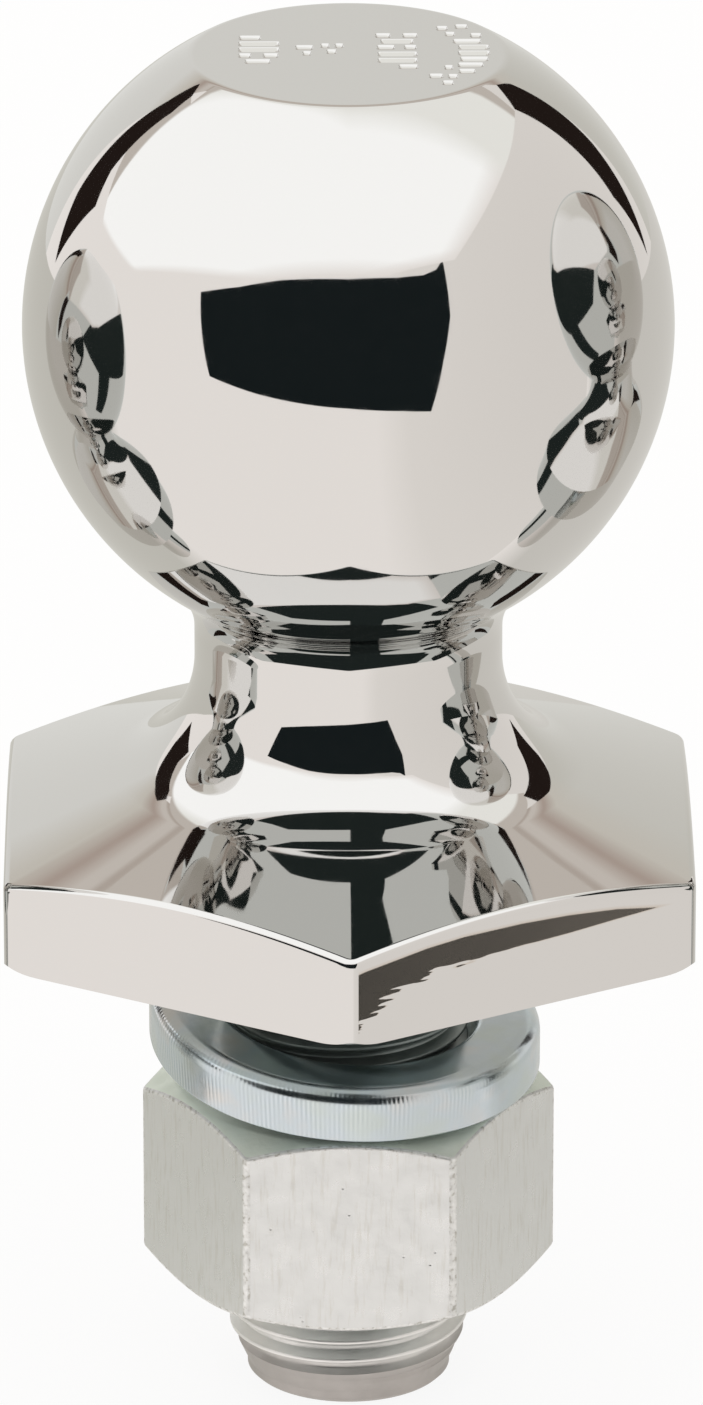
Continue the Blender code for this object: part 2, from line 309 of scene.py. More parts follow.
def stamp(x, y, length):
    """One chisel-shaped punch, placed in millimetres: a steep lip, then slopes to its narrow end."""
    bpy.ops.object.select_all(action="DESELECT")
    length = length * 0.001
    size = (length + 2 * LIP_DRAFT, STAMP_WIDTH + 2 * LIP_DRAFT, 2 * LIP_DEPTH)
    bpy.ops.mesh.primitive_cube_add(size=1, location=(0, 0, 0), scale=size)
    punch = bpy.context.object
    apply_place()
    bpy.ops.object.mode_set(mode="EDIT")
    pick(punch, "EDGE", lambda edge: abs(edge.verts[0].co.z - edge.verts[1].co.z) > LIP_DEPTH)
    bpy.ops.mesh.bevel(offset=PUNCH_ROUND, segments=3, affect="EDGES")
    pick(punch, "FACE", lambda face: face.normal.z < -0.9)
    lip = (length - 2 * LIP_DRAFT, STAMP_WIDTH - 2 * LIP_DRAFT)
    bpy.ops.transform.resize(value=(lip[0] / size[0], lip[1] / size[1], 1))
    bpy.ops.mesh.extrude_region_move(TRANSFORM_OT_translate={"value": (0, 0, LIP_DEPTH - STAMP_DEPTH)})
    bpy.ops.transform.resize(value=((lip[0] - PUNCH_END_LOSS) / lip[0], PUNCH_END_SHARE, 1))
    bpy.ops.object.mode_set(mode="OBJECT")
    punch.location = (x * 0.001, y * 0.001, TOP_Z)
    apply_place()
    return punch


marks = [stamp(*place) for place in STAMPED_MARKS]
bpy.ops.object.select_all(action="DESELECT")
for mark in marks:
    mark.select_set(True)
bpy.context.view_layer.objects.active = marks[0]
bpy.ops.object.join()
cut(forging, marks[0], "DIFFERENCE")
top_now = max(corner.co.z for corner in forging.data.vertices)
print(len(marks), "stamped marks; top at", round(1000 * top_now, 3), "mm")

# %% [markdown]
# ## The thread
# The shank carries a fine right-hand thread, sixteen turns to the inch. A bump map would look wrong at the
# silhouette, so the thread is real. One tooth is drawn as an outline and the Screw modifier winds it up the
# shank, rising one pitch with each turn. It has as many columns as the forging, so the two can be welded.

# %% Wind one tooth into a helix
PITCH = 0.0254 / 16
THREAD_DEPTH = 0.61 * PITCH
THREAD_SOFTNESS = 0.00005


def wind_thread(name, root_radius, crest_radius, low, high):
    """A helical band whose crest is level with a whole number of pitches on the +X side."""
    crest = PITCH / 8
    root = PITCH / 4
    soft = THREAD_SOFTNESS
    lean = soft if crest_radius > root_radius else -soft
    start = (math.floor(low / PITCH) - 2) * PITCH
    band, pen = begin_outline(name, crest_radius, start)
    line_to(pen, crest_radius, start + crest / 2 - soft)
    line_to(pen, crest_radius - lean, start + crest / 2 + soft)
    line_to(pen, root_radius + lean, start + (PITCH - root) / 2 - soft)
    line_to(pen, root_radius, start + (PITCH - root) / 2 + soft)
    line_to(pen, root_radius, start + (PITCH + root) / 2 - soft)
    line_to(pen, root_radius + lean, start + (PITCH + root) / 2 + soft)
    line_to(pen, crest_radius - lean, start + PITCH - crest / 2 - soft)
    line_to(pen, crest_radius, start + PITCH - crest / 2 + soft)
    line_to(pen, crest_radius, start + PITCH)
    bpy.ops.object.mode_set(mode="OBJECT")
    helix = band.modifiers.new("helix", "SCREW")
    helix.axis = "Z"
    helix.screw_offset = PITCH
    helix.iterations = math.ceil((high - start) / PITCH) + 1
    helix.steps = COLUMNS
    helix.render_steps = COLUMNS
    helix.use_merge_vertices = True
    helix.merge_threshold = MERGE_DISTANCE
    bpy.ops.object.modifier_apply(modifier=helix.name)
    return band

# %% [markdown]
# A helix starts and ends on a slant, while the shank ends square. So each point that lies past an end is
# brought level with it, and its radius is passed through a rule: the rule tapers the lead-in of the shank,
# lets the thread run out under the washer, and opens the countersinks of the nut.

# %% Square the ends of a helix
def settle(band, low, high, rule):
    """Keeps a helix between two heights, and gives each point the radius that the rule wants there."""
    for corner in band.data.vertices:
        x, y, z = corner.co
        z = min(max(z, low), high)
        radius = math.hypot(x, y)
        share = rule(radius, z) / radius
        corner.co = (x * share, y * share, z)


POINT_RADIUS = 0.0081
POINT_LENGTH = 0.0009
LEAD_IN_LENGTH = 0.0031
POINT_CHAMFER = 0.0003
THREAD_FADE = 0.0016


def shank_rule(radius, z):
    """Tapered lead-in at the tip, and a thread that fades out at its upper end."""
    taper = POINT_RADIUS + (SHANK_RADIUS - POINT_RADIUS) * (z - POINT_LENGTH) / LEAD_IN_LENGTH
    radius = min(radius, taper)
    fade = max(0.0, (z - PLAIN_SHANK_Z + THREAD_FADE) / THREAD_FADE)
    return radius + (SHANK_RADIUS - radius) * fade


thread = wind_thread("shank_thread", SHANK_RADIUS - THREAD_DEPTH, SHANK_RADIUS, POINT_LENGTH, PLAIN_SHANK_Z)
settle(thread, POINT_LENGTH, PLAIN_SHANK_Z, shank_rule)
print("thread:", len(thread.data.polygons), "faces, pitch", round(1000 * PITCH, 4), "mm")

# %% [markdown]
# The tip is made from the lowest ring by extruding it down, and once more inwards for the chamfer, and
# then filling it. After that the plain cap under the forging is deleted and the two meshes are welded
# along their shared ring, so the forging stays one closed skin from its flat top to its tip. An edge that
# doesn't join two faces would be a hole, so such edges are counted, and there should be none.

# %% Close the tip and weld the shank to the forging
edit(thread)
weld(thread)
pick(thread, "EDGE", lambda edge: edge.is_boundary and edge.verts[0].co.z < POINT_LENGTH + MERGE_DISTANCE)
bpy.ops.mesh.extrude_region_move(TRANSFORM_OT_translate={"value": (0, 0, POINT_CHAMFER - POINT_LENGTH)})
bpy.ops.mesh.extrude_region_move(TRANSFORM_OT_translate={"value": (0, 0, -POINT_CHAMFER)})
shrink = 1 - POINT_CHAMFER / POINT_RADIUS
bpy.ops.transform.resize(value=(shrink, shrink, 1), center_override=(0, 0, 0))
bpy.ops.mesh.edge_face_add()
bpy.ops.object.mode_set(mode="OBJECT")

edit(forging)
pick(forging, "FACE", lambda face: face.calc_center_median().z < PLAIN_SHANK_Z + MERGE_DISTANCE)
bpy.ops.mesh.delete(type="FACE")
bpy.ops.object.mode_set(mode="OBJECT")
thread.select_set(True)
bpy.ops.object.join()
edit(forging)
weld(forging)
open_edges = pick(forging, "EDGE", lambda edge: not edge.is_manifold)
bpy.ops.object.mode_set(mode="OBJECT")
print("forging:", len(forging.data.polygons), "faces,", open_edges, "open edges")

# %% [markdown]
# Smooth shading is limited by angle, so flats stay flat and rounds stay round. The Weighted Normal
# modifier then lets the big faces set the shading of the narrow bevels beside them, which keeps
# reflections straight right up to an edge.

# %% Shade a metal piece
def shade(piece, degrees):
    """Smooth shading up to an angle, with evened normals."""
    choose(piece)
    bpy.ops.object.shade_smooth_by_angle(angle=math.radians(degrees))
    even = piece.modifiers.new("even normals", "WEIGHTED_NORMAL")
    even.keep_sharp = True
    bpy.ops.object.modifier_apply(modifier=even.name)


shade(forging, 35)
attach(forging, "ball")
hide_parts("tow_ball")

# %% [markdown]
# ## The lock washer
# This is a spring washer: a bar bent into one turn of a left-hand coil, cut through on a slant, and sprung
# open. A ring with a split would be easier, but a flat one would show no rise between its ends. It leans a
# little, because it rests on its low end and on its far side. How far it leans follows from its sizes, and
# a few rounds of Newton's method find the place where the rim touches.

# %% Sizes of the washer
WASHER_BORE = 0.0105
WASHER_RIM = 0.01555
WASHER_THICKNESS = 0.0045
WASHER_RISE = 0.0061
WASHER_RIM_ROUND = 0.0014
WASHER_BORE_ROUND = 0.0007
WASHER_UNDER_ROUND = 0.0003
WASHER_SPLIT = 0.0014
WASHER_SPLIT_SLANT = math.radians(25)
WASHER_SIDE_SHIFT = 0.0003
DRAWBAR_GAP = 0.0041
WASHER_COLUMNS = 240


def washer_tilt():
    """Sine of the lean of a ring that rests on its low end and on its rim, further round."""
    share = WASHER_BORE / WASHER_RIM
    angle = 2.5
    for _ in range(20):
        angle -= (angle * math.sin(angle) + math.cos(angle) - share) / (angle * math.cos(angle))
    return WASHER_RISE / (math.tau * WASHER_RIM * math.sin(angle))


TILT = washer_tilt()
WASHER_LEAN = TILT * (WASHER_RISE + WASHER_THICKNESS) / 2
WASHER_LOW_Z = (SEAT_Z - DRAWBAR_GAP - TILT * WASHER_RIM
                - (WASHER_RISE + WASHER_THICKNESS) * math.cos(math.asin(TILT)))
print("washer leans", round(math.degrees(math.asin(TILT)), 1), "degrees")

# %% [markdown]
# The bar's section is drawn as an outline with a round at each corner, the largest at the upper rim. The
# Screw modifier winds it once round the axis while it rises, and the two open ends are filled.

# %% Wind the washer
washer, pen = begin_outline("spring_washer", WASHER_BORE + WASHER_UNDER_ROUND, 0)
line_to(pen, WASHER_RIM - WASHER_UNDER_ROUND, 0)
arc_about(pen, WASHER_RIM - WASHER_UNDER_ROUND, WASHER_UNDER_ROUND, math.pi / 2, 4)
line_to(pen, WASHER_RIM, WASHER_THICKNESS - WASHER_RIM_ROUND)
arc_about(pen, WASHER_RIM - WASHER_RIM_ROUND, WASHER_THICKNESS - WASHER_RIM_ROUND, math.pi / 2, 8)
line_to(pen, WASHER_BORE + WASHER_BORE_ROUND, WASHER_THICKNESS)
arc_about(pen, WASHER_BORE + WASHER_BORE_ROUND, WASHER_THICKNESS - WASHER_BORE_ROUND, math.pi / 2, 6)
line_to(pen, WASHER_BORE, WASHER_UNDER_ROUND)
arc_about(pen, WASHER_BORE + WASHER_UNDER_ROUND, WASHER_UNDER_ROUND, math.pi / 2, 4)
bpy.ops.mesh.select_all(action="SELECT")
bpy.ops.mesh.remove_doubles(threshold=MERGE_DISTANCE)
bpy.ops.transform.rotate(value=-math.pi / 2, orient_axis="Z", center_override=(0, 0, 0))
bpy.ops.object.mode_set(mode="OBJECT")
print("points in the washer's section:", len(washer.data.vertices))

coil = washer.modifiers.new("coil", "SCREW")
coil.axis = "Z"
coil.angle = -math.tau
coil.screw_offset = WASHER_RISE
coil.steps = WASHER_COLUMNS
coil.render_steps = WASHER_COLUMNS
bpy.ops.object.modifier_apply(modifier=coil.name)
edit(washer)
bpy.ops.mesh.select_mode(type="EDGE")
bpy.ops.mesh.select_all(action="DESELECT")
for end in (lambda z: z < WASHER_THICKNESS * 1.01, lambda z: z > WASHER_RISE * 0.99):
    pick(washer, "EDGE", lambda edge: edge.is_boundary and all(end(corner.co.z) for corner in edge.verts))
    bpy.ops.mesh.edge_face_add()
weld(washer)
bpy.ops.object.mode_set(mode="OBJECT")
print("washer bar:", len(washer.data.polygons), "faces")

# %% [markdown]
# The two ends of the coil are parted by a thin slanted cutter at the back. Then the ring is tipped and set
# down on the nut, and its place is applied, so that its object is back at the origin.

# %% Cut the split and set the washer down
bpy.ops.object.select_all(action="DESELECT")
bpy.ops.mesh.primitive_cube_add(size=1, rotation=(0, WASHER_SPLIT_SLANT, 0),
                                location=(0, WASHER_RIM, (WASHER_RISE + WASHER_THICKNESS) / 2),
                                scale=(WASHER_SPLIT, WASHER_RIM * 1.5, 0.03))
cut(washer, bpy.context.object, "DIFFERENCE")
washer.rotation_euler = (math.asin(TILT), 0, 0)
washer.location = (-WASHER_SIDE_SHIFT, WASHER_LEAN, WASHER_LOW_Z)
choose(washer)
apply_place()
shade(washer, 35)
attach(washer, "washer")
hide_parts("lock_washer")
print("washer:", len(washer.data.polygons), "faces")

# %% [markdown]
# ## The nut
# A heavy hex nut is cut from hex bar and chamfered on both faces, which leaves an arc over each flat. One
# of its flats faces the camera, while the flange has a corner there, so its cutter is turned by 30 degrees.

# %% Sizes of the nut
nut_low, nut_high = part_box("hex_nut")
NUT_REACH = nut_high.y / math.cos(math.pi / 6)
NUT_FACE_RADIUS = 0.01385
NUT_CHAMFER_SLOPE = math.radians(27)
NUT_CORNER_ROUND = 0.0004
NUT_EDGE_ROUND = 0.00022
NUT_BORE = SHANK_RADIUS + 0.0003
NUT_COUNTERSINK = 0.0008
THREAD_CLEARANCE = 0.0001

# %% [markdown]
# The blank is turned with a chamfer above and below and a plain hole, and cut to six flats with the same
# tool as the flange. Then the wall of the hole is deleted, and the edges are broken with a small bevel.

# %% Turn and cut the nut
blank_r = NUT_REACH + 0.002
drop = math.tan(NUT_CHAMFER_SLOPE) * (blank_r - NUT_FACE_RADIUS)
mouth = NUT_BORE + NUT_COUNTERSINK
nut, pen = begin_outline("heavy_hex_nut", mouth, nut_high.z)
line_to(pen, NUT_FACE_RADIUS, nut_high.z)
line_to(pen, blank_r, nut_high.z - drop)
line_to(pen, blank_r, nut_low.z + drop)
line_to(pen, NUT_FACE_RADIUS, nut_low.z)
line_to(pen, mouth, nut_low.z)
line_to(pen, mouth, nut_high.z)
turn_outline(nut, COLUMNS)
cut(nut, hexagon_tool(NUT_REACH, NUT_CORNER_ROUND, -0.1, 0.1, math.pi / 6), "INTERSECT")
edit(nut)
pick(nut, "FACE", lambda face: all(math.hypot(corner.co.x, corner.co.y) < mouth + 0.00001
                                   for corner in face.verts))
bpy.ops.mesh.delete(type="FACE")
pick(nut, "EDGE", lambda edge: len(edge.link_faces) == 2 and edge.calc_face_angle() > math.radians(20)
     and math.hypot(*edge.verts[0].co.xy) > NUT_FACE_RADIUS - 0.0001)
bpy.ops.mesh.bevel(offset=NUT_EDGE_ROUND, segments=2, affect="EDGES", clamp_overlap=False)
bpy.ops.object.mode_set(mode="OBJECT")
print("nut blank:", len(nut.data.polygons), "faces")

# %% [markdown]
# The hole gets the same helix as the shank, a little larger and half a pitch higher, so the two threads
# run in each other all the way. Both countersinks come from the rule that settles its ends.

# %% Thread the nut
def bore_rule(radius, z):
    """Countersinks at both faces of the nut."""
    depth = min(z - nut_low.z, nut_high.z - z)
    return max(radius, mouth - depth)


bore = wind_thread("nut_thread", SHANK_RADIUS + THREAD_CLEARANCE,
                   SHANK_RADIUS - THREAD_DEPTH + THREAD_CLEARANCE, nut_low.z, nut_high.z)
bore_shift = PITCH / 2
for corner in bore.data.vertices:
    corner.co.z += bore_shift
settle(bore, nut_low.z, nut_high.z, bore_rule)
choose(nut)
bore.select_set(True)
bpy.ops.object.join()
edit(nut)
weld(nut)
open_edges = pick(nut, "EDGE", lambda edge: not edge.is_manifold)
bpy.ops.object.mode_set(mode="OBJECT")
shade(nut, 25)
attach(nut, "nut")
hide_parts("hex_nut")
print("nut:", len(nut.data.polygons), "faces,", open_edges, "open edges")

# %% [markdown]
# ## Platings
# All three finishes are bare metal, so each is a Principled shader with full metallic weight. What tells
# them apart is colour, roughness and the small marks in the surface. In the shader editor one would add
# each node and drag its links. These helpers do that in a line each. A socket knows the node tree that it
# is in, so only a node that starts a chain has to be told its tree.

# %% Helpers for single nodes
def add_node(tree, kind, **settings):
    """A new node with some of its settings or input values filled in."""
    node = tree.nodes.new("ShaderNode" + kind)
    for key, value in settings.items():
        if hasattr(node, key):
            setattr(node, key, value)
        else:
            node.inputs[key.replace("_", " ").title()].default_value = value
    return node


def feed(value, socket):
    """Links an output to an input, or writes a number, a vector or a colour into the input."""
    if isinstance(value, bpy.types.NodeSocket):
        socket.id_data.links.new(value, socket)
    elif socket.type == "RGBA":
        socket.default_value = (*value, 1)
    else:
        socket.default_value = value


def axes_of(vector):
    """The X, Y and Z of a vector."""
    node = add_node(vector.id_data, "SeparateXYZ")
    feed(vector, node.inputs["Vector"])
    return node.outputs


def calculate(operation, first, second=0.0):
    """Arithmetic on two values."""
    node = add_node(first.id_data, "Math", operation=operation)
    feed(first, node.inputs[0])
    feed(second, node.inputs[1])
    return node.outputs["Value"]


def vector_maths(operation, first, second=None):
    """Arithmetic on vectors."""
    node = add_node(first.id_data, "VectorMath", operation=operation)
    feed(first, node.inputs[0])
    if second is not None:
        feed(second, node.inputs[1])
    return node.outputs["Value" if operation in ("DOT_PRODUCT", "LENGTH") else "Vector"]

# %% [markdown]
# Most patterns are a noise whose range is spread over the values that are wanted, or a ramp that turns one
# value into a colour. A bump doesn't move the surface: it only tilts the light's idea of it, so it is kept
# for marks that are far too fine to model.

# %% Helpers for patterns
def spread(value, low, high, to_low=0, to_high=1):
    """Maps a range of one value onto another range, 0 to 1 unless told otherwise."""
    node = add_node(value.id_data, "MapRange", from_min=low, from_max=high, to_min=to_low, to_max=to_high)
    feed(value, node.inputs["Value"])
    return node.outputs["Result"]


def noise(place, scale, detail=2.0, roughness=0.5):
    """A noise pattern, its scale in features to the metre."""
    cloud = add_node(place.id_data, "TexNoise", scale=scale, detail=detail, roughness=roughness)
    feed(place, cloud.inputs["Vector"])
    return cloud.outputs["Fac"]


def wander(place, scale, detail, low, high):
    """A value that wanders between two limits in soft patches."""
    return spread(noise(place, scale, detail), 0.3, 0.7, low, high)


def colour_ramp(value, stops):
    """Turns a value into a colour. Each stop is a position and its colour."""
    node = add_node(value.id_data, "ValToRGB")
    marks = node.color_ramp.elements
    while len(marks) < len(stops):
        marks.new(0.5)
    for mark, (position, colour) in zip(marks, stops):
        mark.position = position
    for mark, (position, colour) in zip(marks, stops):
        mark.color = (*colour, 1)
    feed(value, node.inputs["Fac"])
    return node.outputs["Color"]


def mix_colours(share, first, second, blend="MIX"):
    """Mixes two colours, from the first at a share of 0 to the second at 1."""
    node = add_node(share.id_data, "Mix", data_type="RGBA", blend_type=blend)
    feed(share, node.inputs["Factor"])
    feed(first, node.inputs["A"])
    feed(second, node.inputs["B"])
    return node.outputs["Result"]


def bump(height, depth, shader):
    """Presses a height pattern into the surface, its depth in metres."""
    node = add_node(height.id_data, "Bump", distance=depth)
    feed(height, node.inputs["Height"])
    feed(node.outputs["Normal"], shader.inputs["Normal"])
    return node.outputs["Normal"]

# %% [markdown]
# A metal starts with its middle colour and roughness, which its patterns then vary. Every pattern reads
# Object coordinates, so it stays on its piece when the piece moves. A piece can carry more than one
# finish, and a rule on the place or the direction of a face says which faces take it.

# %% Helpers for metals
def new_material(name):
    """A new material and its shader."""
    material = bpy.data.materials.new(name)
    material.use_nodes = True
    return material, material.node_tree.nodes["Principled BSDF"]


def new_metal(name, colour, roughness):
    """A metallic material, its Object coordinates and its shader."""
    material, shader = new_material(name)
    feed(1.0, shader.inputs["Metallic"])
    feed(colour, shader.inputs["Base Color"])
    feed(roughness, shader.inputs["Roughness"])
    return material, add_node(material.node_tree, "TexCoord").outputs["Object"], shader


def give_finish(piece, material, rule=lambda face: True):
    """Adds a material to a piece, for the faces that pass the rule."""
    piece.data.materials.append(material)
    chosen = [face for face in piece.data.polygons if rule(face)]
    for face in chosen:
        face.material_index = len(piece.data.materials) - 1
    print(material.name, "on", len(chosen), "faces of", piece.name)

# %% [markdown]
# Chrome is almost a perfect mirror. Two things keep it from looking like a computed one: a very slight
# waviness left by forging and polishing, and a roughness that is never quite zero.

# %% Chrome plate
CHROME = (0.735, 0.720, 0.705)


def chrome_plate(name):
    """A polished plating, nearly neutral in colour, and the normal that holds its waviness."""
    material, place, shader = new_metal(name, CHROME, 0.03)
    feed(wander(place, 900, 3, 0.015, 0.045), shader.inputs["Roughness"])
    waves = bump(noise(place, 70, 2), 0.00002, shader)
    return material, place, shader, waves


chrome, place, shader, waves = chrome_plate("chrome plate")
give_finish(forging, chrome)

# %% [markdown]
# One flat of the flange, the one to the right of the camera, carries a dark brown patch of painted
# reflection. The patch is widest at the front corner and thins out to the right. Its outline is drawn with
# two ramps that give the lower and upper edge for each distance along the flat, in millimetres.

# %% The two edges of the painted reflection patch
FLAT_LENGTH = 0.030
PATCH_BASE = 0.040
PATCH_TALL = 0.010
LOWER_EDGE = [
    (0.0, 41.0), (0.6, 41.9), (2.3, 43.7), (4.0, 44.6), (6.7, 45.4), (9.6, 45.8), (13.3, 46.1),
    (17.0, 46.25), (20.7, 46.5), (25.0, 46.75), (30.0, 46.9),
]
UPPER_EDGE = [
    (0.0, 47.0), (1.0, 47.3), (5.9, 48.1), (8.8, 48.35), (13.3, 48.35), (17.0, 48.15), (20.7, 47.75),
    (25.0, 46.9), (30.0, 46.0),
]
painted_reflection_patch, place, shader, waves = chrome_plate("chrome with a painted dark reflection")
axes = axes_of(place)
along = spread(axes["X"], 0, FLAT_LENGTH)
height = spread(axes["Z"], PATCH_BASE, PATCH_BASE + PATCH_TALL)


def edge_line(points):
    """The height of an edge of the patch for each distance along the flat."""
    stops = []
    for distance, level in points:
        share = (level * 0.001 - PATCH_BASE) / PATCH_TALL
        stops.append((distance * 0.001 / FLAT_LENGTH, (share, share, share)))
    return colour_ramp(along, stops)


lower = edge_line(LOWER_EDGE)
upper = edge_line(UPPER_EDGE)
print("the patch's edges have", len(LOWER_EDGE), "and", len(UPPER_EDGE), "points")

# %% [markdown]
# The lower edge of the patch is ragged, most of all near the front corner, so a stretched, turned noise
# that climbs a little along the flat is added to it. Inside the two edges the normal leans a little up and
# towards the front, so it mirrors the dark opening where the flat mirrors white. It is rougher there too,
# and its colour is painted brown, a painted reflection.

# %% A ragged, leaning patch
PATCH_EDGE_CLIMB = math.radians(10)
PATCH_LEAN = (-0.249, -0.144, 0.344)
# Painted reflection: this brown stands in for the dark wedge that the flat shows.
PAINTED_REFLECTION_BROWN = (0.64, 0.57, 0.50)
FLAT_NORMAL = Vector((0.5, -math.cos(math.pi / 6), 0))


def is_painted_reflection_flat(face):
    """True on the flat of the flange to the right of the camera."""
    return face.center.z > SEAT_Z and face.normal.dot(FLAT_NORMAL) > 0.9999


patch_edge_streaks = add_node(painted_reflection_patch.node_tree, "Mapping", rotation=(0, PATCH_EDGE_CLIMB, 0), scale=(0.10, 0.10, 1))
feed(place, patch_edge_streaks.inputs["Vector"])
ragged = spread(noise(patch_edge_streaks.outputs["Vector"], 2600, 2), 0.35, 0.65, -0.03, 0.11)
near_corner = spread(along, 0.0, 0.5, 1, 0)
low_line = calculate("ADD", lower, calculate("MULTIPLY", ragged, near_corner))
above = spread(calculate("SUBTRACT", height, low_line), 0, 0.015)
below = spread(calculate("SUBTRACT", upper, height), 0, 0.035)
inside = calculate("MULTIPLY", above, below)

leaning = vector_maths("ADD", waves, vector_maths("MULTIPLY", inside, PATCH_LEAN))
feed(vector_maths("NORMALIZE", leaning), shader.inputs["Normal"])
feed(spread(inside, 0, 1, 0.03, 0.21), shader.inputs["Roughness"])
# Painted reflection: inside the patch the chrome's colour turns brown.
feed(mix_colours(inside, CHROME, PAINTED_REFLECTION_BROWN), shader.inputs["Base Color"])
give_finish(forging, painted_reflection_patch, is_painted_reflection_flat)

# %% [markdown]
# Under the seat the steel is turned and threaded, and the plating hardly reaches it. Its tip is brown and
# dull. The threads below the nut are painted bright, a painted sheen, and up inside the nut and the washer
# the colour is painted dark, a painted shade where the washer and flange cover it. A ramp over the height
# gives those tones.

# %% Turned steel of the shank
SHANK_TOP = 0.031
# Painted light: the bright band below the nut is a painted sheen, and the dark end inside the nut and washer
# is painted shade.
SHANK_TONES_AND_PAINTED_LIGHT = [
    (0.0, (0.46, 0.435, 0.415)), (0.0030, (0.47, 0.445, 0.425)), (0.0040, (0.86, 0.85, 0.83)),
    (0.0088, (0.90, 0.89, 0.87)), (0.024, (0.57, 0.57, 0.555)), (0.031, (0.30, 0.34, 0.33)),
]
turned, place, shader = new_metal("turned shank", (0.58, 0.565, 0.55), 0.26)
rise = spread(axes_of(place)["Z"], 0, SHANK_TOP)
tones_and_painted_light = [(height / SHANK_TOP, colour) for height, colour in SHANK_TONES_AND_PAINTED_LIGHT]
feed(colour_ramp(rise, tones_and_painted_light), shader.inputs["Base Color"])
feed(wander(place, 700, 4, 0.38, 0.52), shader.inputs["Roughness"])
bump(noise(place, 1800, 3), 0.00002, shader)
give_finish(forging, turned, lambda face: face.center.z < SEAT_Z - SHANK_ROOT_FILLET)

# %% [markdown]
# The washer is bright zinc with a cool cast, and its rim still has the upright lines of the rolled bar.
# Those lines follow the ring, so they come from the angle round the axis, which an arctangent of the two
# flat coordinates gives. They are kept to the rim, and fade out in patches where the ring has rubbed.

# %% Lines round the washer's rim
RIM_LINES = 262
RIM_SKIN = 0.0004
RIM_SKIN_END = 0.0001
blue_zinc, place, shader = new_metal("blue zinc", (0.69, 0.72, 0.73), 0.12)
axes = axes_of(place)
angle = calculate("ARCTAN2", axes["Y"], axes["X"])
wave = calculate("SINE", calculate("MULTIPLY", angle, RIM_LINES))
flat = add_node(blue_zinc.node_tree, "CombineXYZ")
feed(axes["X"], flat.inputs["X"])
feed(axes["Y"], flat.inputs["Y"])
reach = vector_maths("LENGTH", flat.outputs["Vector"])
on_rim = spread(reach, WASHER_RIM - RIM_SKIN, WASHER_RIM - RIM_SKIN_END)
patchy = spread(noise(place, 420, 2), 0.35, 0.62)
lines = calculate("MULTIPLY", wave, calculate("MULTIPLY", on_rim, patchy))
print("lines round the rim:", RIM_LINES)

# %% [markdown]
# Zinc of this kind drifts between green, blue and a warm grey, as a thin film of oil does. A soft noise
# picks the tint, and each line darkens it a little.

# %% Zinc on the washer
ZINC_TINTS = [(0.36, (0.68, 0.74, 0.73)), (0.5, (0.68, 0.745, 0.79)), (0.66, (0.76, 0.745, 0.73))]
LINE_SHADE = (0.80, 0.82, 0.83)
tint = colour_ramp(noise(place, 190, 3), ZINC_TINTS)
darker = spread(lines, -1, 1)
feed(mix_colours(darker, tint, LINE_SHADE, "MULTIPLY"), shader.inputs["Base Color"])
feed(wander(place, 600, 4, 0.14, 0.26), shader.inputs["Roughness"])
bump(lines, 0.000004, shader)
give_finish(washer, blue_zinc)

# %% [markdown]
# The nut's flats are drawn hex bar, dull under their zinc, with faint upright streaks and a few pits. The
# streaks are a noise that is stretched upwards. The faces that look up, the top face and its turned chamfer,
# are greener and duller, and are also painted much lighter, a painted highlight. Both changes follow how
# far a face looks up.

# %% Satin zinc on the nut
# Painted highlight: this near white, with a greener tint, lights the faces that look up.
UPWARD_GREEN_AND_HIGHLIGHT = (0.95, 1.0, 0.92)
satin, place, shader = new_metal("satin zinc", (0.775, 0.775, 0.765), 0.3)
stretch = add_node(satin.node_tree, "Mapping", scale=(1, 1, 0.12))
feed(place, stretch.inputs["Vector"])
drawn = noise(stretch.outputs["Vector"], 2600, 3, 0.6)
greys = colour_ramp(drawn, [(0.30, (0.715, 0.71, 0.68)), (0.48, (0.78, 0.785, 0.775))])
upness = axes_of(add_node(satin.node_tree, "NewGeometry").outputs["Normal"])["Z"]
chamfer = spread(upness, 0.5, 0.8)
# Painted highlight: faces that look up take the light, greener colour.
feed(mix_colours(chamfer, greys, UPWARD_GREEN_AND_HIGHLIGHT), shader.inputs["Base Color"])
haze = wander(place, 500, 4, 0.24, 0.40)
dulled = spread(upness, 0.5, 0.8, 0, 0.30)
feed(calculate("ADD", haze, dulled), shader.inputs["Roughness"])
pits = add_node(satin.node_tree, "TexVoronoi", scale=520)
feed(place, pits.inputs["Vector"])
hollow = spread(pits.outputs["Distance"], 0.02, 0.075)
bump(calculate("ADD", hollow, noise(place, 1500, 4)), 0.000028, shader)
give_finish(nut, satin)

# %% [markdown]
# A nut is knocked about in a box with others, and its edges show it: the corners are worn and chipped.
# The narrow bevels that were cut for the edges take this finish, whose light colour is partly wear and
# partly a painted highlight along the edges, and a rule finds them. An upright corner faces between two
# flats, and the arcs lean between a flat and the chamfer.

# %% Worn edges of the nut, with a painted highlight
# Painted highlight: the near white base and light stops brighten the edges, and the dark stops are chips
# from wear.
CHIPS_AND_HIGHLIGHT = [(0.35, (0.58, 0.57, 0.53)), (0.43, (0.78, 0.78, 0.76)), (0.70, (0.91, 0.91, 0.90))]
worn_and_highlit, place, shader = new_metal("worn nut edge with painted highlight", (0.97, 0.97, 0.96), 0.5)
feed(colour_ramp(noise(place, 2600, 3), CHIPS_AND_HIGHLIGHT), shader.inputs["Base Color"])
feed(spread(noise(place, 1600, 4), 0.35, 0.65, 0.35, 0.65), shader.inputs["Roughness"])
bump(noise(place, 1400, 3), 0.000015, shader)


